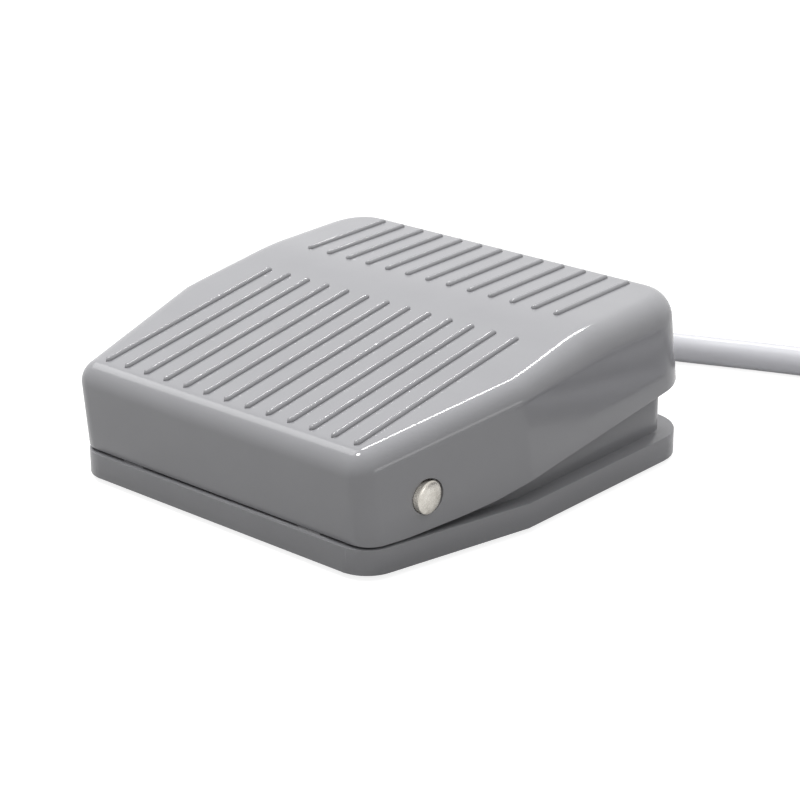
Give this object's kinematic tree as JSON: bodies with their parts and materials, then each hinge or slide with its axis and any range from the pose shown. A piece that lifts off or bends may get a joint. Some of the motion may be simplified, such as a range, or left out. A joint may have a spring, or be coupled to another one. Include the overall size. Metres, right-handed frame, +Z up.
{
  "type": "industrial foot switch",
  "caption": "Small moulded foot switch: a ribbed pedal hinged over a base with a snap-action switch, a return spring and a light-grey cable.",
  "frame": {"origin": "on the resting surface, under the middle of the base and pedal", "axes": "+X to the right of the user, +Y towards the cable end at the rear, +Z up"},
  "size_m": [0.1851, 0.144, 0.0333],
  "materials": {
    "base_plastic": "satin-gloss moulded ABS, mid grey",
    "pedal_plastic": "satin-gloss moulded ABS, mid grey",
    "pin_nickel": "tumbled nickel plate",
    "foot_rubber": "matt black rubber",
    "spring_steel": "drawn wire",
    "switch_black": "moulded thermoset, black",
    "switch_cover": "moulded thermoset, dark grey",
    "plunger_red": "moulded nylon, red",
    "lever_steel": "stamped stainless strip",
    "terminal_brass": "stamped brass",
    "blade_copper": "beryllium copper strip",
    "contact_silver": "silver contact",
    "screw_steel": "zinc-plated steel",
    "cable_jacket": "smooth PVC, light grey",
    "grommet_rubber": "moulded soft PVC, dark grey",
    "core_brown": "PVC insulation, brown",
    "core_blue": "PVC insulation, blue",
    "core_black": "PVC insulation, black",
    "tinned_copper": "tinned stranded copper",
    "tie_nylon": "natural nylon"
  },
  "bodies": {
    "housing": {"base": "base_plastic", "hinge_pins": "pin_nickel", "rubber_feet": "foot_rubber", "return_spring": "spring_steel", "switch_case": "switch_black", "switch_cover": "switch_cover", "lever_pin": "screw_steel", "common_terminal": "terminal_brass", "open_terminal": "terminal_brass", "closed_terminal": "terminal_brass", "switch_screws": "screw_steel", "cable_entry": "cable_jacket", "cable_grommet": "grommet_rubber", "cable_clamp": "base_plastic", "clamp_screws": "screw_steel", "common_core": "core_brown", "open_core": "core_blue", "closed_core": "core_black", "cable_lead": "cable_jacket", "cable_coil": "cable_jacket", "cable_tail": "cable_jacket", "cable_ends": "tinned_copper", "coil_tie": "tie_nylon"},
    "pedal": {"pedal": "pedal_plastic"},
    "lever": {"switch_lever": "lever_steel"},
    "plunger": {"switch_plunger": "plunger_red"},
    "blade": {"contact_blade": "blade_copper", "moving_contact": "contact_silver"}
  },
  "joints": [
    {"name": "pedal_hinge", "type": "hinge", "parent": "housing", "child": "pedal", "pos_m": [0, -0.0296, 0.0128], "axis": [1, 0, 0], "range_deg": [-7.2, 0], "stiffness_Nm_per_rad": 1.6, "springref_deg": 9.17, "deforming": ["return_spring"]},
    {"name": "lever_hinge", "type": "hinge", "parent": "housing", "child": "lever", "pos_m": [-0.015, 0.0078, 0.0207], "axis": [1, 0, 0], "range_deg": [0, 6.2]},
    {"name": "plunger_slide", "type": "slide", "parent": "housing", "child": "plunger", "axis": [0, 0, 1], "range_m": [-0.00088, 0]},
    {"name": "blade_hinge", "type": "hinge", "parent": "housing", "child": "blade", "pos_m": [-0.015, -0.016, 0.012], "axis": [1, 0, 0], "range_deg": [-3.2, 0]}
  ],
  "couplings": [
    {"joint": "lever_hinge", "follows": "pedal_hinge", "ratio": -0.84854},
    {"joint": "plunger_slide", "follows": "pedal_hinge", "m_per_rad": 0.0068142},
    {"joint": "blade_hinge", "follows": "pedal_hinge", "ratio": 0.43086}
  ]
}
